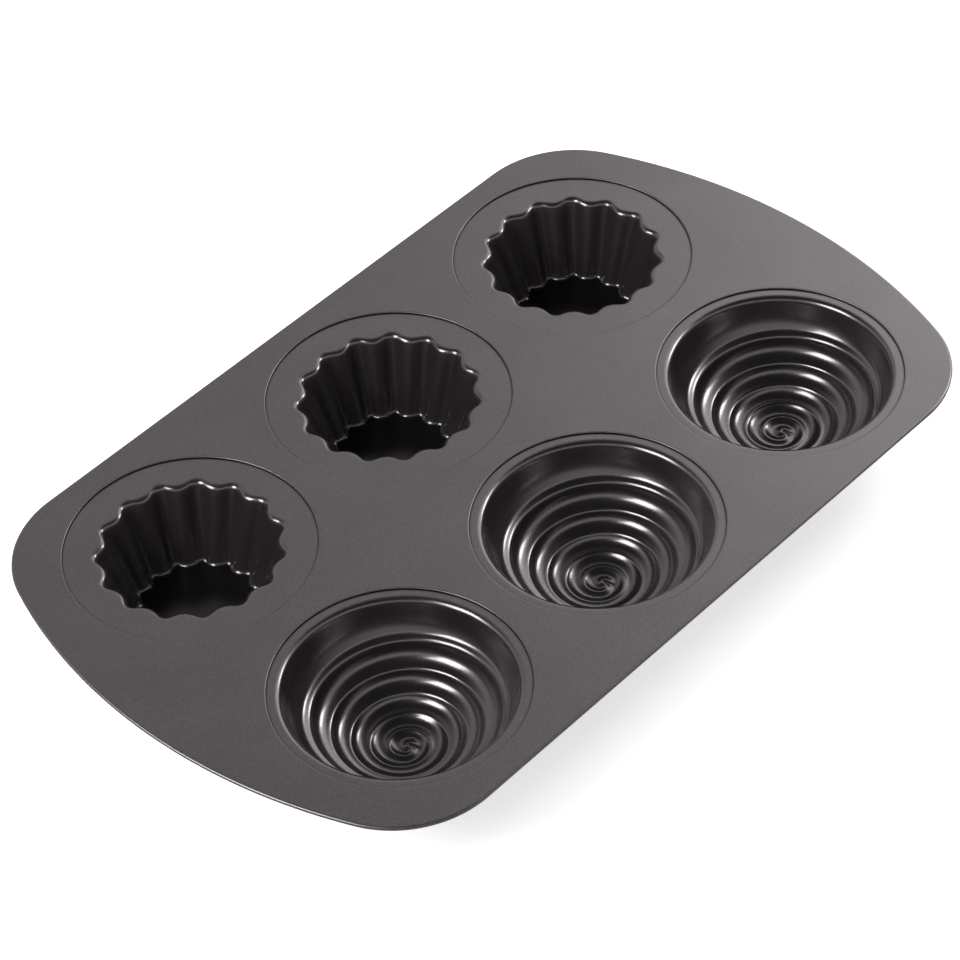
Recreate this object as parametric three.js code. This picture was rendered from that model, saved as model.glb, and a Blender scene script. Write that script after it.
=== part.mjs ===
// Six-cavity cupcake pan for baking large two-piece cupcakes.
// A hemmed tray plate carries two columns of drawn cups, hung by their flanges under six round holes.
// The left column moulds the fluted cupcake bases, the right column the swirled icing tops.
// Millimetres, +Z up. The pan stands on z = 0 with its length along Y and its width along X.
import * as THREE from 'three';

// Sheet metal
const SHEET = 0.7;              // thickness of the plate and of every cup
const RIM_FILLET = 2.8;         // bend radius where a flange turns down into its cup
const CUP_DEPTH = 34.1;         // flange top to the lowest inside point, the same for both kinds of cup

// Layout of the cups
const CUP_SPACING = 112;        // cup centre to cup centre, across and along the tray
const ROW_NAMES = ['near', 'middle', 'far'];
const HOLE_WEB = 12;            // plate left between two neighbouring holes
const FLANGE_GAP = 4;           // air between two neighbouring cup flanges

// Tray plate
const SIDE_MARGIN = 11.5;       // hole edge to the straight long side
const END_MARGIN = 27.5;        // hole edge to the middle of a bowed short end
const END_RADIUS = 236;         // bow of the short ends
const CORNER_RADIUS = 45;
const HEM_RADIUS = 0.85;        // rounded outer edge of the closed hem
const HEM_CLEARANCE = 1.4;      // cup flange to the folded-under lap of the hem

// Fluted cups
const FLUTES = 15;
const FLUTED_SHELF = 13.2;      // flat flange between the hole edge and the channels
const RIM_FLUTE = 2.8;          // how far the channels stand outside the lobes, at the rim
const FLOOR_FLUTE = 2.4;        // the same at the floor
const CHANNEL_SHARE = 0.4;      // part of a flute taken by its rounded channel, the rest is the lobe
const FLUTED_TAPER = 10.2;      // how much a cup narrows on the way down, measured on the radius
const FLOOR_FILLET = 2.5;

// Swirl cups
const SWIRL_SHELF = 4.8;        // flat flange between the hole edge and the swirl's rim
const DOME_POWER = 2.5;         // roundness of the icing dome: steep at the rim, flat at the bottom
const ROPE_PITCH = 7.1;         // radius lost by the icing rope in one turn
const MOUTH_DEPTH = 3;          // how far the rope is pressed out beyond the ridge beside it, at the mouth
const TIP_DEPTH = 0.65;         // the same in the middle of the cup
const RIM_EASE = 6;             // radius over which the wall swells out to that depth below the rim
const RIDGE_SHARE = 0.22;       // part of the pitch taken by the rounded ridge between two turns
const RIDGE_START = 5.6;        // wall width between the rim and the place where the ridge begins
const RIDGE_START_ANGLE = -40;  // degrees, counter-clockwise from +X
const RIDGE_TURNS = 5;          // turns from there to the S that the ridge ends in
const FADE_IN = 0.25;           // turns over which the ridge rises out of the wall
const WALL_CORNER = 0.55;       // size of the wall's corner at the first turn, as a part of the rope's
const WALL_RIDGE_SHARE = 0.5;   // part of that corner taken by the ridge
const WALL_END = 0.6;           // turn where the wall starts to become the rope
const S_RADIUS = 5.2;           // where the S begins
const S_INNER_BEND = 2.4;       // bend around the rope's end
const S_INNER_ANGLE = 145;      // degrees
const S_OUTER_BEND = 1.1;       // bend back, around the pocket on the other side
const S_OUTER_ANGLE = 185;      // degrees
const S_TAIL = 3.7;             // straight end that fades out
const S_REACH = 11;             // the S changes nothing outside this radius

// Coatings
const PLATE_COATING = { color: 0x6e6b6c, roughness: 0.5, metalness: 0.6 };
const CUP_COATING = { color: 0x6f6b6e, roughness: 0.3, metalness: 0.6 };

// Facets
const HOLE_STEPS = 36;
const CORNER_STEPS = 6;
const END_STEPS = 6;
const HEM_STEPS = 4;
const RIM_STEPS = 2;
const FLOOR_STEPS = 1;
const FLUTE_COLUMNS = [-0.4, -0.17, 0, 0.17, 0.4]; // shares of a flute, counted from its channel
const STEPS_PER_TURN = 24;
const S_STEPS = 12;             // points in each part of the S
const CORE_RADIUS = 8;          // the spiral facets give way to rings here
const CORE_RINGS = 6;

// Sizes that follow from the ones above
const HOLE_RADIUS = (CUP_SPACING - HOLE_WEB) / 2;
const FLANGE_RADIUS = (CUP_SPACING - FLANGE_GAP) / 2;
const FLANGE_TOP = SHEET + CUP_DEPTH;
const PLATE_TOP = FLANGE_TOP + SHEET;
const HALF_WIDTH = CUP_SPACING / 2 + HOLE_RADIUS + SIDE_MARGIN;
const HALF_LENGTH = CUP_SPACING + HOLE_RADIUS + END_MARGIN;
const HEM_LAP = HALF_WIDTH - CUP_SPACING / 2 - FLANGE_RADIUS - HEM_CLEARANCE;
const FLUTED_RIM = HOLE_RADIUS - FLUTED_SHELF - RIM_FLUTE;
const FLUTED_FLOOR = FLUTED_RIM - FLUTED_TAPER;
const SWIRL_RIM = HOLE_RADIUS - SWIRL_SHELF;
const DOME_HEIGHT = CUP_DEPTH - TIP_DEPTH;
const RIDGE_START_RADIUS = SWIRL_RIM - RIDGE_START;

const UP = new THREE.Vector3(0, 0, 1);

function polar(radius, angle, z) {
  return new THREE.Vector3(radius * Math.cos(angle), radius * Math.sin(angle), z);
}

// A pressed sheet is described by its upper face: points, the normals there, and triangles.

function newSheet() {
  return { points: [], normals: [], faces: [] };
}

function addPoint(sheet, point, normal) {
  sheet.points.push(point);
  sheet.normals.push(normal);
  return sheet.points.length - 1;
}

function addQuad(faces, a, b, c, d) {
  faces.push([a, b, c], [a, c, d]);
}

function joinRings(faces, outer, inner) {
  outer.forEach((corner, k) => {
    const next = (k + 1) % outer.length;
    addQuad(faces, corner, outer[next], inner[next], inner[k]);
  });
}

// Two columns that run inwards side by side; the shorter one waits on its last point.
function joinColumns(faces, here, next) {
  for (let row = 0; row + 1 < Math.max(here.length, next.length); row += 1) {
    const [a, d] = [row, row + 1].map((k) => here[Math.min(k, here.length - 1)]);
    const [b, c] = [row, row + 1].map((k) => next[Math.min(k, next.length - 1)]);
    if (b !== c) {
      faces.push([a, b, c]);
    }
    if (a !== d) {
      faces.push([a, c, d]);
    }
  }
}

function closeFan(faces, loop, centre) {
  loop.forEach((corner, k) => {
    faces.push([corner, loop[(k + 1) % loop.length], centre]);
  });
}

function toGeometry(points, faces) {
  const geometry = new THREE.BufferGeometry();
  geometry.setFromPoints(points);
  geometry.setIndex(faces.flat());
  geometry.computeVertexNormals();
  return geometry;
}

// Gives the sheet its thickness downwards and closes it along its outer edge.
function thicken(sheet, edge) {
  const count = sheet.points.length;
  const under = sheet.points.map((point, k) => point.clone().addScaledVector(sheet.normals[k], -SHEET));
  const faces = sheet.faces.flatMap(([a, b, c]) => [[a, b, c], [count + a, count + c, count + b]]);
  joinRings(faces, edge.map((k) => count + k), edge);
  return toGeometry([...sheet.points, ...under], faces);
}

// A wave of two arcs that meet without a kink, over shares of its pitch from -0.5 to 0.5.
// It is 1 on the crest at 0 and 0 midway between two crests.
function wave(share, crestShare) {
  const away = Math.abs(share);
  const crest = crestShare / 2;
  if (away < crest) {
    return 1 - crestShare * (away / crest) ** 2;
  }
  return (1 - crestShare) * ((0.5 - away) / (0.5 - crest)) ** 2;
}

// Rounded corner of a cup's section, from one straight run to the next, as radius, height and normal.
// Angles are the slopes of the two runs, in radians, as the section goes inwards and down.
function bend(radius, corner, slopeIn, slopeOut, steps) {
  const reach = Math.abs(radius * Math.tan((slopeOut - slopeIn) / 2));
  const side = Math.sign(slopeOut - slopeIn);
  const startR = corner.r + reach * Math.cos(slopeIn);
  const startZ = corner.z + reach * Math.sin(slopeIn);
  const rows = [];
  for (let step = 0; step <= steps; step += 1) {
    const slope = slopeIn + ((slopeOut - slopeIn) * step) / steps;
    rows.push({
      r: startR + side * radius * (Math.sin(slopeIn) - Math.sin(slope)),
      z: startZ - side * radius * (Math.cos(slopeIn) - Math.cos(slope)),
      normalR: -Math.sin(slope),
      normalZ: Math.cos(slope),
    });
  }
  return rows;
}

// Fluted cup: rounded lobes swell into the cup and meet in narrower upright channels.

function fluteReach(z) {
  const rise = (z - SHEET) / CUP_DEPTH;
  return FLOOR_FLUTE + (RIM_FLUTE - FLOOR_FLUTE) * rise;
}

function flutedRow(sheet, row, reach) {
  const step = 0.01;
  const indices = [];
  for (let flute = 0; flute < FLUTES; flute += 1) {
    FLUTE_COLUMNS.forEach((share) => {
      const angle = ((flute + 0.5 + share) / FLUTES) * 2 * Math.PI;
      const radius = row.r + reach * wave(share, CHANNEL_SHARE);
      const rise = (wave(share + step, CHANNEL_SHARE) - wave(share - step, CHANNEL_SHARE)) / (2 * step);
      const lean = (reach * rise * FLUTES) / (2 * Math.PI * radius);
      const around = polar(1, angle + Math.PI / 2, 0);
      const normal = polar(1, angle, 0).addScaledVector(around, -lean).multiplyScalar(row.normalR);
      normal.addScaledVector(UP, row.normalZ).normalize();
      indices.push(addPoint(sheet, polar(radius, angle, row.z), normal));
    });
  }
  return indices;
}

function flutedCupGeometry() {
  const sheet = newSheet();
  const wallSlope = Math.atan2(CUP_DEPTH, FLUTED_TAPER);
  const rim = bend(RIM_FILLET, { r: FLUTED_RIM, z: FLANGE_TOP }, 0, wallSlope, RIM_STEPS);
  const floor = bend(FLOOR_FILLET, { r: FLUTED_FLOOR, z: SHEET }, wallSlope, 0, FLOOR_STEPS);
  const flangeEdge = { r: FLANGE_RADIUS, z: FLANGE_TOP, normalR: 0, normalZ: 1 };
  const edge = flutedRow(sheet, flangeEdge, 0);
  const centre = addPoint(sheet, new THREE.Vector3(0, 0, SHEET), UP);
  let outer = edge;
  [...rim, ...floor].forEach((row) => {
    const inner = flutedRow(sheet, row, fluteReach(row.z));
    joinRings(sheet.faces, outer, inner);
    outer = inner;
  });
  closeFan(sheet.faces, outer, centre);
  return thicken(sheet, edge);
}

// Swirl cup: one icing rope winds down a dome, counter-clockwise and inwards, with a ridge beside it.
// Turns are counted from the ridge's beginning. In the middle the ridge bends into an S.

function smoothStep(from, to, value) {
  return THREE.MathUtils.smoothstep(value, from, to);
}

function spiralRadius(turn) {
  return RIDGE_START_RADIUS - ROPE_PITCH * turn;
}

function spiralAngle(turn) {
  return THREE.MathUtils.degToRad(RIDGE_START_ANGLE) + turn * 2 * Math.PI;
}

// The turn where the even spiral stops, and points on from there with the ridge's strength.
function ridgeEnd() {
  const evenTurns = (2 * (RIDGE_START_RADIUS - S_RADIUS)) / ROPE_PITCH - RIDGE_TURNS;
  const lastTurns = RIDGE_TURNS - evenTurns;
  const path = [];
  for (let step = 0; step < S_STEPS; step += 1) {
    const left = lastTurns * (1 - step / S_STEPS);
    const radius = S_RADIUS + (ROPE_PITCH * left ** 2) / lastTurns / 2;
    path.push({ point: polar(radius, spiralAngle(RIDGE_TURNS - left), 0), strength: 1 });
  }

  const inner = THREE.MathUtils.degToRad(S_INNER_ANGLE);
  const outer = THREE.MathUtils.degToRad(S_OUTER_ANGLE);
  const parts = [
    { length: S_INNER_BEND * inner, turning: inner, fading: 0 },
    { length: S_OUTER_BEND * outer, turning: -outer, fading: 0 },
    { length: S_TAIL, turning: 0, fading: 1 },
  ];
  const place = polar(S_RADIUS, spiralAngle(RIDGE_TURNS), 0);
  let heading = spiralAngle(RIDGE_TURNS) + Math.PI / 2;
  parts.forEach(({ length, turning, fading }) => {
    for (let step = 0; step < S_STEPS; step += 1) {
      path.push({ point: place.clone(), strength: 1 - (fading * step) / S_STEPS });
      place.add(polar(length / S_STEPS, heading + turning / S_STEPS / 2, 0));
      heading += turning / S_STEPS;
    }
  });
  return { evenTurns, path };
}

const RIDGE_END = ridgeEnd();

// The ridge's height on the wall above its first turn, which is pressed out less than the rope.
function wallHeight(turn, passed) {
  const rope = smoothStep(WALL_END, 1, turn);
  const size = THREE.MathUtils.lerp(WALL_CORNER, 1, rope);
  const crestShare = THREE.MathUtils.lerp(WALL_RIDGE_SHARE, RIDGE_SHARE, rope);
  const corner = wave(Math.max(passed / size, -0.5), crestShare);
  return smoothStep(0, FADE_IN, turn) * (1 - size * (1 - corner));
}

// 1 on the crest of the ridge, 0 in the middle of the rope.
function ridgeHeight(radius, angle) {
  const turn = THREE.MathUtils.euclideanModulo((angle - spiralAngle(0)) / (2 * Math.PI), 1);
  const passed = (RIDGE_START_RADIUS - radius) / ROPE_PITCH - turn;
  const crestTurn = turn + Math.round(passed);
  let height = 0;
  if (passed < 0) {
    height = wallHeight(turn, passed);
  } else if (crestTurn < RIDGE_END.evenTurns) {
    height = wave(passed - Math.round(passed), RIDGE_SHARE) * smoothStep(0, FADE_IN, crestTurn);
  }
  if (radius < S_REACH) {
    const place = polar(radius, angle, 0);
    RIDGE_END.path.forEach(({ point, strength }) => {
      const share = Math.min(place.distanceTo(point) / ROPE_PITCH, 0.5);
      height = Math.max(height, strength * wave(share, RIDGE_SHARE));
    });
  }
  return height;
}

function domeSlope(radius) {
  return Math.atan((DOME_POWER * DOME_HEIGHT * (radius / SWIRL_RIM) ** (DOME_POWER - 1)) / SWIRL_RIM);
}

function domePoint(radius, angle, pressed) {
  const slope = domeSlope(radius);
  const z = SHEET + TIP_DEPTH + DOME_HEIGHT * (radius / SWIRL_RIM) ** DOME_POWER;
  return polar(radius + pressed * Math.sin(slope), angle, z - pressed * Math.cos(slope));
}

// How far the wall and the rope are pressed out from the plain dome, away from the ridge.
function pressedDepth(radius) {
  const depth = TIP_DEPTH + (MOUTH_DEPTH - TIP_DEPTH) * (radius / SWIRL_RIM) ** 2;
  return depth * smoothStep(0, RIM_EASE, SWIRL_RIM - radius);
}

function swirlPoint(radius, angle) {
  return domePoint(radius, angle, pressedDepth(radius) * (1 - ridgeHeight(radius, angle)));
}

function addSwirlPoint(sheet, radius, angle) {
  const step = 0.1;
  const turn = step / radius;
  const along = swirlPoint(radius, angle + turn).sub(swirlPoint(radius, angle - turn));
  const outwards = swirlPoint(radius + step, angle).sub(swirlPoint(radius - step, angle));
  return addPoint(sheet, swirlPoint(radius, angle), outwards.cross(along).normalize());
}

function swirlRing(sheet, row) {
  const indices = [];
  for (let k = 0; k < STEPS_PER_TURN; k += 1) {
    const angle = spiralAngle(k / STEPS_PER_TURN);
    const normal = polar(row.normalR, angle, row.normalZ);
    indices.push(addPoint(sheet, polar(row.r, angle, row.z), normal));
  }
  return indices;
}

// The smooth wall between the rim and the first ridge, pressed out like the rope below it.
function swirlWallRing(sheet, topRadius, footShare) {
  const indices = [];
  for (let k = 0; k < STEPS_PER_TURN; k += 1) {
    const turn = k / STEPS_PER_TURN;
    const radius = (topRadius + spiralRadius(turn + footShare)) / 2;
    indices.push(addSwirlPoint(sheet, radius, spiralAngle(turn)));
  }
  return indices;
}

// Rings in the middle of the cup; the outermost one is returned.
function swirlCore(sheet) {
  const rings = [];
  for (let k = 0; k < CORE_RINGS; k += 1) {
    const radius = CORE_RADIUS * (1 - k / CORE_RINGS);
    const ring = [];
    for (let step = 0; step < STEPS_PER_TURN; step += 1) {
      ring.push(addSwirlPoint(sheet, radius, spiralAngle(step / STEPS_PER_TURN)));
    }
    rings.push(ring);
  }
  for (let k = 0; k + 1 < CORE_RINGS; k += 1) {
    joinRings(sheet.faces, rings[k], rings[k + 1]);
  }
  closeFan(sheet.faces, rings[CORE_RINGS - 1], addPoint(sheet, swirlPoint(0, 0), UP));
  return rings[0];
}

// The rope's columns, from the wall to the core. Each holds the ridge's outer foot, its crest, its
// inner foot and the middle of the rope; the next turn's outer foot or the core closes the column.
function swirlColumns(sheet) {
  const core = swirlCore(sheet);
  const shares = [-RIDGE_SHARE / 2, 0, RIDGE_SHARE / 2, 0.5];
  const innermost = CORE_RADIUS + ROPE_PITCH / STEPS_PER_TURN;
  const columns = [];
  for (let step = 0; step === 0 || columns[step - 1].length > 0; step += 1) {
    const turn = step / STEPS_PER_TURN;
    const radii = shares.map((share) => spiralRadius(turn + share)).filter((radius) => radius > innermost);
    columns.push(radii.map((radius) => addSwirlPoint(sheet, radius, spiralAngle(turn))));
  }
  columns.forEach((column, step) => {
    const inner = step + STEPS_PER_TURN;
    column.push(inner + 1 < columns.length ? columns[inner][0] : core[step % STEPS_PER_TURN]);
  });
  for (let step = 0; step + 1 < columns.length; step += 1) {
    joinColumns(sheet.faces, columns[step], columns[step + 1]);
  }
  return columns;
}

function swirlCupGeometry() {
  const sheet = newSheet();
  const flangeEdge = { r: FLANGE_RADIUS, z: FLANGE_TOP, normalR: 0, normalZ: 1 };
  const rim = bend(RIM_FILLET, { r: SWIRL_RIM, z: FLANGE_TOP }, 0, domeSlope(SWIRL_RIM), RIM_STEPS);
  const edge = swirlRing(sheet, flangeEdge);
  let outer = edge;
  rim.forEach((row) => {
    const inner = swirlRing(sheet, row);
    joinRings(sheet.faces, outer, inner);
    outer = inner;
  });
  const wall = swirlWallRing(sheet, rim[rim.length - 1].r, -RIDGE_SHARE / 2);
  joinRings(sheet.faces, outer, wall);

  const columns = swirlColumns(sheet);
  for (let k = 0; k + 1 < STEPS_PER_TURN; k += 1) {
    addQuad(sheet.faces, wall[k], wall[k + 1], columns[k + 1][0], columns[k][0]);
  }
  const last = wall[STEPS_PER_TURN - 1];
  const start = [columns[STEPS_PER_TURN - 1][0], ...columns[0].slice().reverse()];
  for (let k = 0; k + 1 < start.length; k += 1) {
    sheet.faces.push([last, start[k + 1], start[k]]);
  }
  sheet.faces.push([last, wall[0], columns[0][0]]);
  return thicken(sheet, edge);
}

// Tray plate: straight long sides, bowed short ends, round corners, a closed hem folded under.

function outline(inset) {
  const cornerX = HALF_WIDTH - CORNER_RADIUS;
  const bowY = HALF_LENGTH - END_RADIUS;
  const rise = Math.sqrt((END_RADIUS - CORNER_RADIUS) ** 2 - cornerX ** 2);
  const meet = Math.atan2(rise, cornerX);
  const half = [];
  const arc = (x, y, radius, from, to, steps, first) => {
    for (let step = first; step <= steps; step += 1) {
      const angle = from + ((to - from) * step) / steps;
      const reach = radius - inset;
      half.push(new THREE.Vector2(x + reach * Math.cos(angle), y + reach * Math.sin(angle)));
    }
  };
  arc(cornerX, bowY + rise, CORNER_RADIUS, 0, meet, CORNER_STEPS, 0);
  arc(0, bowY, END_RADIUS, meet, Math.PI - meet, END_STEPS, 1);
  arc(-cornerX, bowY + rise, CORNER_RADIUS, Math.PI - meet, Math.PI, CORNER_STEPS, 1);
  return [...half, ...half.map((point) => point.clone().negate())];
}

function cupCentres() {
  const centres = [];
  [-0.5, 0.5].forEach((column) => {
    ROW_NAMES.forEach((name, row) => {
      const across = column * CUP_SPACING;
      const along = (row - (ROW_NAMES.length - 1) / 2) * CUP_SPACING;
      centres.push({ name, column, x: across, y: along });
    });
  });
  return centres;
}

function holeOutline({ x, y }) {
  const points = [];
  for (let k = 0; k < HOLE_STEPS; k += 1) {
    const angle = (-k / HOLE_STEPS) * 2 * Math.PI;
    points.push(new THREE.Vector2(x + HOLE_RADIUS * Math.cos(angle), y + HOLE_RADIUS * Math.sin(angle)));
  }
  return points;
}

function plateGeometry() {
  const points = [];
  const faces = [];
  const addLoop = (loop, z) => loop.map((point) => points.push(new THREE.Vector3(point.x, point.y, z)) - 1);
  const holes = cupCentres().map(holeOutline);

  const edges = [];
  for (let step = 0; step <= HEM_STEPS; step += 1) {
    const angle = Math.PI * (0.5 - step / HEM_STEPS);
    const inset = HEM_RADIUS * (1 - Math.cos(angle));
    edges.push(addLoop(outline(inset), PLATE_TOP - HEM_RADIUS * (1 - Math.sin(angle))));
  }
  edges.push(addLoop(outline(HEM_LAP), PLATE_TOP - 2 * HEM_RADIUS));
  edges.push(addLoop(outline(HEM_LAP), PLATE_TOP - SHEET));
  for (let k = 0; k + 1 < edges.length; k += 1) {
    joinRings(faces, edges[k + 1], edges[k]);
  }

  const top = holes.map((hole) => addLoop(hole, PLATE_TOP));
  const bottom = holes.map((hole) => addLoop(hole, PLATE_TOP - SHEET));
  top.forEach((loop, k) => joinRings(faces, bottom[k], loop));

  const topIndex = [...edges[0], ...top.flat()];
  THREE.ShapeUtils.triangulateShape(outline(HEM_RADIUS), holes).forEach(([a, b, c]) => {
    faces.push([topIndex[a], topIndex[b], topIndex[c]]);
  });
  const bottomIndex = [...edges[edges.length - 1], ...bottom.flat()];
  THREE.ShapeUtils.triangulateShape(outline(HEM_LAP), holes).forEach(([a, b, c]) => {
    faces.push([bottomIndex[a], bottomIndex[c], bottomIndex[b]]);
  });
  return toGeometry(points, faces);
}

// Assembly

function addMesh(group, name, geometry, coating) {
  const mesh = new THREE.Mesh(geometry, new THREE.MeshStandardMaterial(coating));
  mesh.name = name;
  group.add(mesh);
  return mesh;
}

const pan = new THREE.Group();
pan.name = 'cupcake_pan';
addMesh(pan, 'tray_plate', plateGeometry(), PLATE_COATING);
const flutedCup = flutedCupGeometry();
const swirlCup = swirlCupGeometry();
cupCentres().forEach(({ name, column, x, y }) => {
  const fluted = column < 0;
  const cupName = `${fluted ? 'fluted' : 'swirl'}_cup_${name}`;
  const cup = addMesh(pan, cupName, fluted ? flutedCup : swirlCup, CUP_COATING);
  cup.position.set(x, y, 0);
});

export default pan;
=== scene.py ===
import math

import bpy
from mathutils import Matrix, Vector
from mathutils.geometry import tessellate_polygon


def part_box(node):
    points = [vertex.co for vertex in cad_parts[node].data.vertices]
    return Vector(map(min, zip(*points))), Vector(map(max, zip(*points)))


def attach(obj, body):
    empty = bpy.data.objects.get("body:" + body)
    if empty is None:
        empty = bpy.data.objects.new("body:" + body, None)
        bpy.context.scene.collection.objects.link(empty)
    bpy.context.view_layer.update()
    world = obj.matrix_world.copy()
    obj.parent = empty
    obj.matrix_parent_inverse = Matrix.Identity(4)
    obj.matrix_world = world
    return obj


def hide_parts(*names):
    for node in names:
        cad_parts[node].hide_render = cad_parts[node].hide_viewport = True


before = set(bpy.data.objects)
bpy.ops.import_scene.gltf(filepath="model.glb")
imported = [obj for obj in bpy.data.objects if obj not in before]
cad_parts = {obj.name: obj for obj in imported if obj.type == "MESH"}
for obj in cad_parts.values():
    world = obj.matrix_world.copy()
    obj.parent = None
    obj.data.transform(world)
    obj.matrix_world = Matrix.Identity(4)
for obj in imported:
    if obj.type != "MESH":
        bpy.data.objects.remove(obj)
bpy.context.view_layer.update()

# Sizes are millimetres until a mesh is made
MM = 0.001

# Sheet metal
SHEET = 0.7             # thickness of the plate and of every cup
RIM_FILLET = 2.8        # bend radius where a flange turns down into its cup
CUP_DEPTH = 34.1        # flange top to the lowest inside point
FLANGE_TOP = SHEET + CUP_DEPTH
FLANGE_RADIUS = 54.0
HOLD = 0.5              # narrow flat strip that keeps a flat face flat beside a bend

# Layout
CUP_SPACING = 112.0
ROW_NAMES = ("near", "middle", "far")

# Tray plate
plate_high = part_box("tray_plate")[1]
HALF_WIDTH = plate_high.x / MM
HALF_LENGTH = plate_high.y / MM
PLATE_TOP = plate_high.z / MM
HOLE_RADIUS = 50.0
HOLE_ROUND = 0.35       # rounding of a hole's upper edge
END_RADIUS = 236.0      # bow of the short ends
CORNER_RADIUS = 45.0
HEM_RADIUS = 0.85
HEM_LAP = 6.1           # width of the strip folded under the edge

# Fluted cups
FLUTES = 15
FLUTED_RIM = 34.0       # radius of the lobes at the rim
FLUTED_FLOOR = 23.8     # the same at the floor
RIM_FLUTE = 2.8         # how far the channels stand outside the lobes, at the rim
FLOOR_FLUTE = 2.4       # the same at the floor
CHANNEL_SHARE = 0.4     # part of a flute taken by its rounded channel
FLOOR_FILLET = 2.5

# Swirl cups
SWIRL_RIM = 45.2
DOME_POWER = 2.5        # roundness of the icing dome: steep at the rim, flat at the bottom
ROPE_PITCH = 7.1        # radius lost by the icing rope in one turn
MOUTH_DEPTH = 3.0       # how far the rope is pressed out beyond the ridge beside it, at the mouth
TIP_DEPTH = 0.65        # the same in the middle of the cup
RIM_EASE = 6.0          # radius over which the wall swells out to that depth below the rim
RIDGE_SHARE = 0.22      # part of the pitch taken by the rounded ridge between two turns
RIDGE_START_RADIUS = 39.6
RIDGE_START_ANGLE = math.radians(-40.0)
RIDGE_TURNS = 5         # turns from there to the S that the ridge ends in
FADE_IN = 0.25          # turns over which the ridge rises out of the wall
WALL_CORNER = 0.55      # size of the wall's corner at the first turn, as a part of the rope's
WALL_RIDGE_SHARE = 0.5  # part of that corner taken by the ridge
WALL_END = 0.6          # turn where the wall starts to become the rope
S_RADIUS = 5.2          # where the S begins
S_INNER_BEND = 2.4      # bend around the rope's end
S_INNER_ANGLE = math.radians(145.0)
S_OUTER_BEND = 1.1      # bend back, around the pocket on the other side
S_OUTER_ANGLE = math.radians(185.0)
S_TAIL = 3.7            # straight end that fades out
S_REACH = 11.0          # the S changes nothing outside this radius
DOME_HEIGHT = CUP_DEPTH - TIP_DEPTH

# Facets
FILLET_STEPS = 8
WALL_STEPS = 8
STEPS_PER_FLUTE = 24
STEPS_PER_TURN = 120
ROPE_ROWS = 24
CORE_RADIUS = 9.0       # the spiral mesh gives way to rings here
CORE_RINGS = 30
S_STEPS = 20            # points in each part of the S
HOLE_STEPS = 160
HOLE_ROUND_STEPS = 5
CORNER_STEPS = 24
END_STEPS = 40
HEM_STEPS = 10

# Probes for a slope
FLUTE_PROBE = 0.01      # part of a flute
SWIRL_PROBE = 0.05

# Coating, with painted shade in creases, inside the cups and on the plate's sides; a range is given as its
# low and its high end
SHARP_ANGLE = math.radians(40.0)
NOISE_RANGE = (0.3, 0.7)        # where most values of a noise lie
CLOUD_NOISE = (35.0, 3.0)       # scale and detail
GRAIN_NOISE = (1400.0, 2.0)
PEEL_NOISE = (500.0, 2.0)
DARK_TONE = (0.137, 0.125, 0.128, 1.0)
LIGHT_TONE = (0.198, 0.181, 0.185, 1.0)
GRAIN_SHARE = 0.65              # part of the way from dark to light that the grain takes
CLOUD_SHARE = (0.05, 0.25)      # the same for the clouds
FLAT_METAL = 0.95               # how metallic the flat upper faces are
FLAT_ROUGHNESS = (0.34, 0.42)
EDGE_BLEND = 0.3                # height over which a flat face's finish gives way to the finish and painted shade below it
FLOOR_SHADE_BLEND = (0.8, 1.5)        # heights between which the deeper painted shade of a cup floor gives way to the wall's
HEM_TOP = 0.15                  # how far below the plate's top its sides begin, which take painted shade and their own roughness
# Painted shade: ambient occlusion darkens the coating's tone in inner corners and creases
CREASE_SHADE_WIDTH = 2.0              # reach of the painted shade along an inner corner, as far as ambient occlusion looks
CREASE_SHADE_OPENNESS = (0.6, 0.92)   # open part of the view outwards, where the painted crease shade is darkest and where it ends
# strength and colour of the painted crease shade at its darkest
CREASE_SHADE_SHARE = 0.85
CREASE_SHADE_TONE = (0.1, 0.1, 0.1, 1.0)
PEEL_STRENGTH = 0.1
PEEL_DEPTH = 0.03

# Studio floor
FLOOR_REACH = 4000.0
FLOOR_GAP = 0.05        # keeps the floor clear of the cups that stand on it
FLOOR_DARK = (0.86, 0.86, 0.86, 1.0)
FLOOR_LIGHT = (0.9, 0.9, 0.9, 1.0)
FLOOR_NOISE = (3.0, 2.0)
FLOOR_ROUGHNESS = 0.9
FLOOR_SPECULAR = 0.1
FLOOR_GLOW = 0.6        # brings the page up to white

# Lights: azimuth and elevation in degrees, then distance, width and height in metres, then radiance
SOFTBOXES = {
    "left_softbox": (253, 41, 1.4, 0.66, 0.66, 12.5),
    "right_softbox": (77, 33, 1.4, 0.34, 0.34, 15.0),
    "far_panel": (98, 34, 1.8, 1.45, 1.0, 1.7),
}
# Studio walls: height of the direction looked in, from 0 level to 1 straight up, and the light there
WALL_LEVELS = ((0.2, 0.06), (0.5, 0.92), (0.66, 0.92), (0.8, 0.02))

# Camera, at the photograph's viewing angle
CAMERA_TARGET = Vector((5.545, -12.465, 35.5)) * MM
CAMERA_DISTANCE = 1.41275
CAMERA_AZIMUTH = math.radians(45.029)
CAMERA_ELEVATION = math.radians(44.447)
CAMERA_ROLL = math.radians(-3.603)
CAMERA_LENS = 134.66    # for the 36 mm sensor below
CAMERA_SENSOR = 36.0
CAMERA_CLIP = 20.0

UP = Vector((0.0, 0.0, 1.0))


def polar(radius, angle, z):
    return Vector((radius * math.cos(angle), radius * math.sin(angle), z))


def smooth_step(start, end, value):
    share = min(max((value - start) / (end - start), 0.0), 1.0)
    return share * share * (3.0 - 2.0 * share)


def wave(share, crest_share):
    """Two arcs that meet without a kink: 1 on the crest at share 0, and 0 midway to the next crest."""
    away = abs(share - round(share))
    crest = crest_share / 2
    if away < crest:
        return 1.0 - crest_share * (away / crest) ** 2
    return (1.0 - crest_share) * ((0.5 - away) / (0.5 - crest)) ** 2


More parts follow.
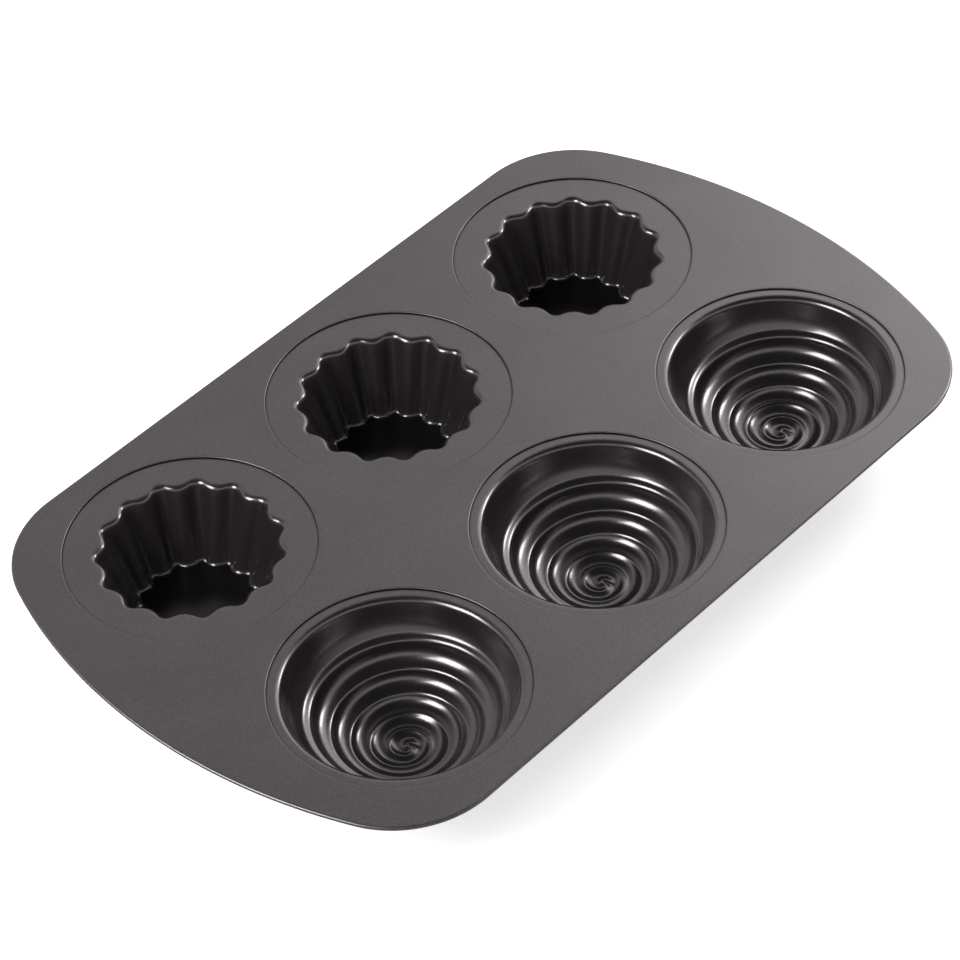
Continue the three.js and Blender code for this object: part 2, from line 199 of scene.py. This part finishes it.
class Sheet:
    """Upper face of a pressed sheet: points, the normals there, and faces."""

    def __init__(self):
        self.points = []
        self.normals = []
        self.faces = []

    def add(self, point, normal):
        self.points.append(point)
        self.normals.append(normal)
        return len(self.points) - 1

    def join(self, outer, inner):
        for k, corner in enumerate(outer):
            after = (k + 1) % len(outer)
            self.faces.append((corner, outer[after], inner[after], inner[k]))

    def fan(self, ring, centre):
        for k, corner in enumerate(ring):
            self.faces.append((corner, ring[(k + 1) % len(ring)], centre))

    def join_columns(self, left, right):
        """Faces between two columns that end in the same point, if one of them ends sooner."""
        for row in range(max(len(left), len(right)) - 1):
            lower = min(row + 1, len(left) - 1), min(row + 1, len(right) - 1)
            upper = min(row, len(left) - 1), min(row, len(right) - 1)
            corners = (left[upper[0]], right[upper[1]], right[lower[1]], left[lower[0]])
            face = tuple(dict.fromkeys(corners))
            if len(face) > 2:
                self.faces.append(face)

    def stitch(self, left, right):
        """Faces between two columns with different counts of points, both from the rim inwards."""
        a = b = 0
        while a + 1 < len(left) or b + 1 < len(right):
            left_share = (a + 1) / len(left)
            right_share = (b + 1) / len(right)
            if b + 1 == len(right) or (a + 1 < len(left) and left_share < right_share):
                self.faces.append((left[a], right[b], left[a + 1]))
                a += 1
            else:
                self.faces.append((left[a], right[b], right[b + 1]))
                b += 1

    def solid(self, edge):
        """The sheet with its thickness, closed along its outer edge."""
        count = len(self.points)
        under = [point - normal * SHEET for point, normal in zip(self.points, self.normals)]
        faces = list(self.faces)
        faces += [tuple(count + k for k in reversed(face)) for face in self.faces]
        for k, corner in enumerate(edge):
            after = edge[(k + 1) % len(edge)]
            faces.append((count + corner, count + after, after, corner))
        return self.points + under, faces


def bend(radius, corner_r, corner_z, slope_in, slope_out):
    """Rounded corner of a cup's section: rows of radius, height and the same two of the normal."""
    reach = abs(radius * math.tan((slope_out - slope_in) / 2))
    side = math.copysign(1.0, slope_out - slope_in)
    start_r = corner_r + reach * math.cos(slope_in)
    start_z = corner_z + reach * math.sin(slope_in)
    rows = []
    for step in range(FILLET_STEPS + 1):
        slope = slope_in + (slope_out - slope_in) * step / FILLET_STEPS
        r = start_r + side * radius * (math.sin(slope_in) - math.sin(slope))
        z = start_z - side * radius * (math.cos(slope_in) - math.cos(slope))
        rows.append((r, z, -math.sin(slope), math.cos(slope)))
    return rows


# Fluted cup

def fluted_row(sheet, row, reach):
    r, z, normal_r, normal_z = row
    count = FLUTES * STEPS_PER_FLUTE
    ring = []
    for k in range(count):
        share = k / STEPS_PER_FLUTE - 0.5
        angle = 2 * math.pi * k / count
        radius = r + reach * wave(share, CHANNEL_SHARE)
        ahead = wave(share + FLUTE_PROBE, CHANNEL_SHARE)
        behind = wave(share - FLUTE_PROBE, CHANNEL_SHARE)
        rise = (ahead - behind) / (2 * FLUTE_PROBE)
        lean = reach * rise * FLUTES / (2 * math.pi * radius)
        normal = (polar(1.0, angle, 0.0) - lean * polar(1.0, angle + math.pi / 2, 0.0)) * normal_r
        ring.append(sheet.add(polar(radius, angle, z), (normal + normal_z * UP).normalized()))
    return ring


def fluted_cup():
    sheet = Sheet()
    wall_slope = math.atan2(CUP_DEPTH, FLUTED_RIM - FLUTED_FLOOR)
    rim = bend(RIM_FILLET, FLUTED_RIM, FLANGE_TOP, 0.0, wall_slope)
    floor = bend(FLOOR_FILLET, FLUTED_FLOOR, SHEET, wall_slope, 0.0)
    top, foot = rim[-1], floor[0]
    wall = []
    for step in range(1, WALL_STEPS):
        share = step / WALL_STEPS
        wall.append(tuple(a + (b - a) * share for a, b in zip(top, foot)))
    flat_rim = (rim[0][0] + HOLD, FLANGE_TOP, 0.0, 1.0)
    flat_floor = (floor[-1][0] - HOLD, SHEET, 0.0, 1.0)

    edge = fluted_row(sheet, (FLANGE_RADIUS, FLANGE_TOP, 0.0, 1.0), 0.0)
    outer = edge
    for row in [flat_rim, *rim, *wall, *floor, flat_floor]:
        depth_share = (FLANGE_TOP - row[1]) / CUP_DEPTH
        inner = fluted_row(sheet, row, RIM_FLUTE + (FLOOR_FLUTE - RIM_FLUTE) * depth_share)
        sheet.join(outer, inner)
        outer = inner
    sheet.fan(outer, sheet.add(Vector((0.0, 0.0, SHEET)), UP))
    return sheet.solid(edge)


# Swirl cup: one icing rope winds down a dome, counter-clockwise and inwards, with a ridge beside it

def spiral_radius(turn):
    return RIDGE_START_RADIUS - ROPE_PITCH * turn


def spiral_angle(turn):
    return RIDGE_START_ANGLE + turn * 2 * math.pi


def dome_slope(radius):
    return math.atan(DOME_POWER * DOME_HEIGHT * (radius / SWIRL_RIM) ** (DOME_POWER - 1) / SWIRL_RIM)


def dome_point(radius, angle, pressed):
    slope = dome_slope(radius)
    z = SHEET + TIP_DEPTH + DOME_HEIGHT * (radius / SWIRL_RIM) ** DOME_POWER
    return polar(radius + pressed * math.sin(slope), angle, z - pressed * math.cos(slope))


def pressed_depth(radius):
    depth = TIP_DEPTH + (MOUTH_DEPTH - TIP_DEPTH) * (radius / SWIRL_RIM) ** 2
    return depth * smooth_step(0.0, RIM_EASE, SWIRL_RIM - radius)


def ridge_end():
    """The turn where the even spiral stops, and points on from there with the ridge's strength."""
    even_turns = 2 * (RIDGE_START_RADIUS - S_RADIUS) / ROPE_PITCH - RIDGE_TURNS
    path = []
    for step in range(S_STEPS):
        left = (RIDGE_TURNS - even_turns) * (1 - step / S_STEPS)
        radius = S_RADIUS + ROPE_PITCH * left ** 2 / (RIDGE_TURNS - even_turns) / 2
        path.append((polar(radius, spiral_angle(RIDGE_TURNS - left), 0.0), 1.0))

    place = polar(S_RADIUS, spiral_angle(RIDGE_TURNS), 0.0)
    heading = spiral_angle(RIDGE_TURNS) + math.pi / 2
    inner = (S_INNER_BEND * S_INNER_ANGLE, S_INNER_ANGLE, 0.0)
    outer = (S_OUTER_BEND * S_OUTER_ANGLE, -S_OUTER_ANGLE, 0.0)
    for length, turning, fading in (inner, outer, (S_TAIL, 0.0, 1.0)):
        for step in range(S_STEPS):
            path.append((place, 1.0 - fading * step / S_STEPS))
            heading += turning / S_STEPS
            place = place + polar(length / S_STEPS, heading - turning / S_STEPS / 2, 0.0)
    return even_turns, path


EVEN_TURNS, END_PATH = ridge_end()


def wall_height(turn, passed):
    """The ridge's height on the wall above its first turn, which is pressed out less than the rope."""
    rope = smooth_step(WALL_END, 1.0, turn)
    size = WALL_CORNER + (1.0 - WALL_CORNER) * rope
    crest_share = WALL_RIDGE_SHARE + (RIDGE_SHARE - WALL_RIDGE_SHARE) * rope
    corner = wave(max(passed / size, -0.5), crest_share)
    return smooth_step(0.0, FADE_IN, turn) * (1.0 - size * (1.0 - corner))


def ridge_height(radius, angle):
    """1 on the crest of the ridge, 0 in the middle of the rope."""
    turn = (angle - RIDGE_START_ANGLE) / (2 * math.pi) % 1.0
    passed = (RIDGE_START_RADIUS - radius) / ROPE_PITCH - turn
    crest_turn = turn + round(passed)
    height = 0.0
    if passed < 0.0:
        height = wall_height(turn, passed)
    elif crest_turn < EVEN_TURNS:
        height = wave(passed, RIDGE_SHARE) * smooth_step(0.0, FADE_IN, crest_turn)
    if radius < S_REACH:
        place = polar(radius, angle, 0.0)
        for point, strength in END_PATH:
            share = min((place - point).length / ROPE_PITCH, 0.5)
            height = max(height, strength * wave(share, RIDGE_SHARE))
    return height


def swirl_point(radius, angle):
    return dome_point(radius, angle, pressed_depth(radius) * (1.0 - ridge_height(radius, angle)))


def add_swirl_point(sheet, radius, angle):
    turn = SWIRL_PROBE / radius
    along = swirl_point(radius, angle + turn) - swirl_point(radius, angle - turn)
    across = swirl_point(radius + SWIRL_PROBE, angle) - swirl_point(radius - SWIRL_PROBE, angle)
    return sheet.add(swirl_point(radius, angle), across.cross(along).normalized())


def swirl_ring(sheet, row):
    r, z, normal_r, normal_z = row
    ring = []
    for k in range(STEPS_PER_TURN):
        angle = spiral_angle(k / STEPS_PER_TURN)
        ring.append(sheet.add(polar(r, angle, z), polar(normal_r, angle, normal_z)))
    return ring


def swirl_wall(sheet, rim, top_radius):
    """Columns of the plain wall between the rim and the first turn of the rope."""
    columns = []
    for k in range(STEPS_PER_TURN):
        turn = k / STEPS_PER_TURN
        foot = spiral_radius(turn - 0.5)
        column = [rim[k]]
        for step in range(1, WALL_STEPS):
            radius = top_radius + (foot - top_radius) * step / WALL_STEPS
            column.append(add_swirl_point(sheet, radius, spiral_angle(turn)))
        columns.append(column)
    return columns


def swirl_core(sheet):
    """Rings in the middle of the cup; the first one is returned."""
    rings = []
    for k in range(CORE_RINGS):
        radius = CORE_RADIUS * (1 - k / CORE_RINGS)
        angles = [spiral_angle(step / STEPS_PER_TURN) for step in range(STEPS_PER_TURN)]
        rings.append([add_swirl_point(sheet, radius, angle) for angle in angles])
    for outer, inner in zip(rings, rings[1:]):
        sheet.join(outer, inner)
    sheet.fan(rings[-1], sheet.add(swirl_point(0.0, 0.0), UP))
    return rings[0]


def swirl_rope(sheet):
    """Columns of the rope, each one pitch wide or cut off by the core."""
    core = swirl_core(sheet)
    row_width = ROPE_PITCH / ROPE_ROWS
    columns = [[]]
    turn = 0.0
    while spiral_radius(turn - 0.5) > CORE_RADIUS + row_width / 2:
        radii = [spiral_radius(turn - 0.5) - row * row_width for row in range(ROPE_ROWS)]
        kept = [radius for radius in radii if radius > CORE_RADIUS + row_width / 2]
        columns[-1] += [add_swirl_point(sheet, radius, spiral_angle(turn)) for radius in kept]
        columns.append([])
        turn = (len(columns) - 1) / STEPS_PER_TURN
    for step, column in enumerate(columns):
        inner = step + STEPS_PER_TURN
        column.append(columns[inner][0] if inner < len(columns) - 1 else core[step % STEPS_PER_TURN])
    for here, after in zip(columns, columns[1:]):
        sheet.join_columns(here, after)
    return columns


def swirl_cup():
    sheet = Sheet()
    rim = bend(RIM_FILLET, SWIRL_RIM, FLANGE_TOP, 0.0, dome_slope(SWIRL_RIM))
    edge = swirl_ring(sheet, (FLANGE_RADIUS, FLANGE_TOP, 0.0, 1.0))
    outer = edge
    for row in [(rim[0][0] + HOLD, FLANGE_TOP, 0.0, 1.0), *rim]:
        inner = swirl_ring(sheet, row)
        sheet.join(outer, inner)
        outer = inner

    wall = swirl_wall(sheet, outer, rim[-1][0])
    rope = swirl_rope(sheet)
    for k, column in enumerate(wall):
        column.append(rope[k][0])
    for here, after in zip(wall, wall[1:]):
        for row in range(WALL_STEPS):
            sheet.faces.append((here[row], after[row], after[row + 1], here[row + 1]))
    sheet.stitch(wall[-1], wall[0] + rope[0][1:])
    return sheet.solid(edge)


# Tray plate

def arc(x, y, radius, start, end, steps):
    turns = [start + (end - start) * step / steps for step in range(steps + 1)]
    return [Vector((x + radius * math.cos(turn), y + radius * math.sin(turn))) for turn in turns]


def outline(inset):
    """Straight sides, round corners and bowed ends, counter-clockwise."""
    corner_x = HALF_WIDTH - CORNER_RADIUS
    bow_y = HALF_LENGTH - END_RADIUS
    rise = math.sqrt((END_RADIUS - CORNER_RADIUS) ** 2 - corner_x ** 2)
    meet = math.atan2(rise, corner_x)
    corner_y = bow_y + rise
    half = arc(corner_x, corner_y, CORNER_RADIUS - inset, 0.0, meet, CORNER_STEPS)
    half += arc(0.0, bow_y, END_RADIUS - inset, meet, math.pi - meet, END_STEPS)[1:]
    half += arc(-corner_x, corner_y, CORNER_RADIUS - inset, math.pi - meet, math.pi, CORNER_STEPS)[1:]
    return half + [-point for point in half]


def hole_outline(centre, radius):
    return arc(centre.x, centre.y, radius, 2 * math.pi, 0.0, HOLE_STEPS)[:-1]


def cup_centres():
    centres = {}
    for side, kind in ((-0.5, "fluted"), (0.5, "swirl")):
        for row, name in enumerate(ROW_NAMES):
            centres[f"{kind}_cup_{name}"] = Vector((side * CUP_SPACING, (row - 1) * CUP_SPACING))
    return centres


def plate():
    points = []
    faces = []

    def add_loop(loop, z):
        points.extend(Vector((point.x, point.y, z)) for point in loop)
        return list(range(len(points) - len(loop), len(points)))

    def join_loops(lower, upper):
        for k, corner in enumerate(upper):
            after = (k + 1) % len(upper)
            faces.append((lower[k], lower[after], upper[after], corner))

    def fill(loops, upwards):
        flat = [index for loop in loops for index in loop]
        for a, b, c in tessellate_polygon([[points[k] for k in loop] for loop in loops]):
            corner, left, right = points[flat[a]], points[flat[b]], points[flat[c]]
            turn = (left - corner).cross(right - corner).z
            face = (flat[a], flat[b], flat[c])
            faces.append(face if (turn > 0) == upwards else face[::-1])

    under = PLATE_TOP - SHEET
    rim = [(HEM_RADIUS + HOLD, PLATE_TOP)]
    for step in range(HEM_STEPS + 1):
        turn = math.pi * (0.5 - step / HEM_STEPS)
        rim.append((HEM_RADIUS * (1 - math.cos(turn)), PLATE_TOP - HEM_RADIUS * (1 - math.sin(turn))))
    rim.append((HEM_RADIUS + HOLD, PLATE_TOP - 2 * HEM_RADIUS))
    rim.append((HEM_LAP, PLATE_TOP - 2 * HEM_RADIUS))
    rim.append((HEM_LAP, under))
    edges = [add_loop(outline(inset), z) for inset, z in rim]
    for upper, lower in zip(edges, edges[1:]):
        join_loops(lower, upper)

    hole = [(HOLE_ROUND + HOLD, PLATE_TOP)]
    for step in range(HOLE_ROUND_STEPS + 1):
        turn = math.pi / 2 * step / HOLE_ROUND_STEPS
        outset = HOLE_ROUND * (1 - math.sin(turn))
        hole.append((outset, PLATE_TOP - HOLE_ROUND * (1 - math.cos(turn))))
    hole.append((0.0, under))
    tops = []
    bottoms = []
    for centre in cup_centres().values():
        loops = [add_loop(hole_outline(centre, HOLE_RADIUS + outset), z) for outset, z in hole]
        for upper, lower in zip(loops, loops[1:]):
            join_loops(lower, upper)
        tops.append(loops[0])
        bottoms.append(loops[-1])
    fill([edges[0], *tops], True)
    fill([edges[-1], *bottoms], False)
    return points, faces


# Materials

def new_material(name):
    material = bpy.data.materials.new(name)
    material.use_nodes = True
    nodes = material.node_tree.nodes
    return material, nodes, material.node_tree.links, nodes["Principled BSDF"]


def noise_node(nodes, links, place, kind):
    scale, detail = kind
    noise = nodes.new("ShaderNodeTexNoise")
    noise.inputs["Scale"].default_value = scale
    noise.inputs["Detail"].default_value = detail
    links.new(place, noise.inputs["Vector"])
    return noise.outputs["Fac"]


def map_range(nodes, links, value, source, target, interpolation="LINEAR"):
    span = nodes.new("ShaderNodeMapRange")
    span.interpolation_type = interpolation
    for socket, number in zip(("From Min", "From Max", "To Min", "To Max"), (*source, *target)):
        span.inputs[socket].default_value = number
    links.new(value, span.inputs["Value"])
    return span.outputs["Result"]


def mixed(nodes, links, kind, factor, first, second, blend="MIX"):
    """A mix of two colours or two numbers, each either written or a node's output."""
    mix = nodes.new("ShaderNodeMix")
    mix.data_type = kind
    mix.blend_type = blend
    links.new(factor, mix.inputs["Factor"])
    for socket, content in (("A", first), ("B", second)):
        if isinstance(content, bpy.types.NodeSocket):
            links.new(content, mix.inputs[socket])
        else:
            mix.inputs[socket].default_value = content
    return mix.outputs["Result"]


def coating_tone(nodes, links, cloud, grain):
    """Tone between dark and light, with a fine grain on faint clouds."""
    both = nodes.new("ShaderNodeMath")
    both.operation = "MULTIPLY_ADD"
    links.new(map_range(nodes, links, grain, NOISE_RANGE, (0.0, 1.0)), both.inputs[0])
    both.inputs[1].default_value = GRAIN_SHARE
    links.new(map_range(nodes, links, cloud, NOISE_RANGE, CLOUD_SHARE), both.inputs[2])
    return mixed(nodes, links, "RGBA", both.outputs["Value"], DARK_TONE, LIGHT_TONE)


# Painted shade: multiplies a dark tone in where ambient occlusion finds an inner corner or crease
def painted_crease_shade(nodes, links, tone):
    crease = nodes.new("ShaderNodeAmbientOcclusion")
    crease.inputs["Distance"].default_value = CREASE_SHADE_WIDTH * MM
    hidden = map_range(nodes, links, crease.outputs["AO"], CREASE_SHADE_OPENNESS, (CREASE_SHADE_SHARE, 0.0))
    return mixed(nodes, links, "RGBA", hidden, tone, CREASE_SHADE_TONE, "MULTIPLY")


def coating(name, flat_height, wall_shade, floor_shade, metal, roughness):
    """Satin non-stick coating.

    Below flat_height it has its own metal and roughness, and its tone is scaled by the wall factor as
    painted shade. On the floor of a cup the tone is scaled by the floor factor, a deeper painted shade.
    """
    material, nodes, links, shader = new_material(name)
    place = nodes.new("ShaderNodeTexCoord").outputs["Object"]
    cloud = noise_node(nodes, links, place, CLOUD_NOISE)
    grain = noise_node(nodes, links, place, GRAIN_NOISE)
    peel = noise_node(nodes, links, place, PEEL_NOISE)

    split = nodes.new("ShaderNodeSeparateXYZ")
    links.new(place, split.inputs["Vector"])
    z = split.outputs["Z"]
    edge = ((flat_height - EDGE_BLEND) * MM, flat_height * MM)
    below = map_range(nodes, links, z, edge, (1.0, 0.0), "SMOOTHSTEP")

    # Painted shade: below the flat top the tone is scaled by the wall factor, and on a cup floor by the
    # floor factor
    floor_edge = [height * MM for height in FLOOR_SHADE_BLEND]
    depth = map_range(nodes, links, z, floor_edge, (floor_shade, wall_shade))
    scaled = nodes.new("ShaderNodeVectorMath")
    scaled.operation = "SCALE"
    links.new(coating_tone(nodes, links, cloud, grain), scaled.inputs[0])
    links.new(mixed(nodes, links, "FLOAT", below, 1.0, depth), scaled.inputs["Scale"])
    # painted shade in the creases
    tone = painted_crease_shade(nodes, links, scaled.outputs["Vector"])
    links.new(tone, shader.inputs["Base Color"])

    flat_gloss = map_range(nodes, links, grain, NOISE_RANGE, FLAT_ROUGHNESS)
    deep_gloss = map_range(nodes, links, cloud, NOISE_RANGE, roughness)
    links.new(mixed(nodes, links, "FLOAT", below, flat_gloss, deep_gloss), shader.inputs["Roughness"])
    shader.inputs["Metallic"].default_value = FLAT_METAL
    if metal != FLAT_METAL:
        links.new(map_range(nodes, links, below, (0.0, 1.0), (FLAT_METAL, metal)), shader.inputs["Metallic"])
    bump = nodes.new("ShaderNodeBump")
    bump.inputs["Strength"].default_value = PEEL_STRENGTH
    bump.inputs["Distance"].default_value = PEEL_DEPTH * MM
    links.new(peel, bump.inputs["Height"])
    links.new(bump.outputs["Normal"], shader.inputs["Normal"])
    return material


def floor_material():
    material, nodes, links, shader = new_material("studio_floor")
    place = nodes.new("ShaderNodeTexCoord").outputs["Object"]
    cloud = noise_node(nodes, links, place, FLOOR_NOISE)
    links.new(mixed(nodes, links, "RGBA", cloud, FLOOR_DARK, FLOOR_LIGHT), shader.inputs["Base Color"])
    shader.inputs["Roughness"].default_value = FLOOR_ROUGHNESS
    shader.inputs["Specular IOR Level"].default_value = FLOOR_SPECULAR

    # The page behind the pan is white to the eye and in reflections, and still takes its shadow
    ray = nodes.new("ShaderNodeLightPath")
    seen = ray.outputs["Is Camera Ray"]
    for kind in ("Is Glossy Ray", "Is Transmission Ray"):
        either = nodes.new("ShaderNodeMath")
        either.operation = "MAXIMUM"
        links.new(seen, either.inputs[0])
        links.new(ray.outputs[kind], either.inputs[1])
        seen = either.outputs["Value"]
    glow = nodes.new("ShaderNodeMath")
    glow.operation = "MULTIPLY"
    glow.inputs[1].default_value = FLOOR_GLOW
    links.new(seen, glow.inputs[0])
    shader.inputs["Emission Color"].default_value = (1.0, 1.0, 1.0, 1.0)
    links.new(glow.outputs["Value"], shader.inputs["Emission Strength"])
    return material


# Pieces

def add_piece(name, points, faces, material):
    mesh = bpy.data.meshes.new(name)
    mesh.from_pydata([point * MM for point in points], [], faces)
    mesh.materials.append(material)
    mesh.shade_smooth()
    mesh.set_sharp_from_angle(angle=SHARP_ANGLE)
    piece = bpy.data.objects.new(name, mesh)
    bpy.context.scene.collection.objects.link(piece)
    return piece


def dress(node, slot, points, faces, material):
    piece = add_piece(f"{node}_pressing", points, faces, material)
    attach(piece, "root")
    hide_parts(node)


# Painted shade: the plate's sides, underside and hole edges and the inside of every cup are darkened, the
# fluted floors most
plate_coating = coating(
    "plate_coating", PLATE_TOP - HEM_TOP,
    wall_shade=0.4, floor_shade=0.4, metal=FLAT_METAL, roughness=(0.34, 0.38),
)
cup_coatings = {
    "fluted": coating(
        "fluted_coating_and_shade", FLANGE_TOP,
        wall_shade=0.62, floor_shade=0.26, metal=0.86, roughness=(0.19, 0.21),
    ),
    "swirl": coating(
        "swirl_coating_and_shade", FLANGE_TOP,
        wall_shade=0.68, floor_shade=0.68, metal=0.92, roughness=(0.21, 0.24),
    ),
}

dress("tray_plate", "plate_coating", *plate(), plate_coating)
pressings = {"fluted": fluted_cup(), "swirl": swirl_cup()}
for node, centre in cup_centres().items():
    kind = node.split("_")[0]
    cup_points, cup_faces = pressings[kind]
    moved = [point + Vector((centre.x, centre.y, 0.0)) for point in cup_points]
    dress(node, "cup_coating", moved, cup_faces, cup_coatings[kind])

# Studio

floor_corners = [
    Vector((FLOOR_REACH * x, FLOOR_REACH * y, -FLOOR_GAP))
    for x, y in ((-1, -1), (1, -1), (1, 1), (-1, 1))
]
floor = add_piece("studio_floor", floor_corners, [(0, 1, 2, 3)], floor_material())


def softbox(name, azimuth, elevation, distance, width, height, radiance):
    """A soft light that faces the pan; azimuth is counter-clockwise from +X."""
    lamp = bpy.data.lights.new(name, "AREA")
    lamp.shape = "RECTANGLE"
    lamp.size = width
    lamp.size_y = height
    lamp.energy = radiance * math.pi * width * height
    box = bpy.data.objects.new(name, lamp)
    bpy.context.scene.collection.objects.link(box)
    level = math.radians(elevation)
    away = polar(math.cos(level), math.radians(azimuth), math.sin(level))
    box.location = away * distance
    box.rotation_euler = away.to_track_quat("Z", "Y").to_euler()


def add_world():
    world = bpy.data.worlds.new("studio")
    bpy.context.scene.world = world
    world.use_nodes = True
    nodes = world.node_tree.nodes
    links = world.node_tree.links
    split = nodes.new("ShaderNodeSeparateXYZ")
    links.new(nodes.new("ShaderNodeTexCoord").outputs["Generated"], split.inputs["Vector"])
    walls = nodes.new("ShaderNodeValToRGB")
    stops = walls.color_ramp.elements
    lowest, *between, highest = WALL_LEVELS
    for stop, (height, light) in zip(stops, (lowest, highest)):
        stop.position = height
        stop.color = (light, light, light, 1.0)
    for height, light in between:
        stops.new(height).color = (light, light, light, 1.0)
    links.new(split.outputs["Z"], walls.inputs["Fac"])
    links.new(walls.outputs["Color"], nodes["Background"].inputs["Color"])


def add_camera():
    data = bpy.data.cameras.new("photo_camera")
    data.sensor_width = CAMERA_SENSOR
    data.lens = CAMERA_LENS
    data.clip_end = CAMERA_CLIP
    camera = bpy.data.objects.new("photo_camera", data)
    bpy.context.scene.collection.objects.link(camera)
    reach = math.cos(CAMERA_ELEVATION)
    back = polar(reach, CAMERA_AZIMUTH - math.pi / 2, math.sin(CAMERA_ELEVATION))
    level_right = UP.cross(back).normalized()
    level_up = back.cross(level_right)
    right = math.cos(CAMERA_ROLL) * level_right + math.sin(CAMERA_ROLL) * level_up
    up = math.cos(CAMERA_ROLL) * level_up - math.sin(CAMERA_ROLL) * level_right
    turn = Matrix((right, up, back)).transposed()
    camera.matrix_world = Matrix.Translation(CAMERA_TARGET + back * CAMERA_DISTANCE) @ turn.to_4x4()
    bpy.context.scene.camera = camera


for softbox_name, setting in SOFTBOXES.items():
    softbox(softbox_name, *setting)
add_world()
add_camera()
bpy.context.scene.view_settings.view_transform = "Standard"
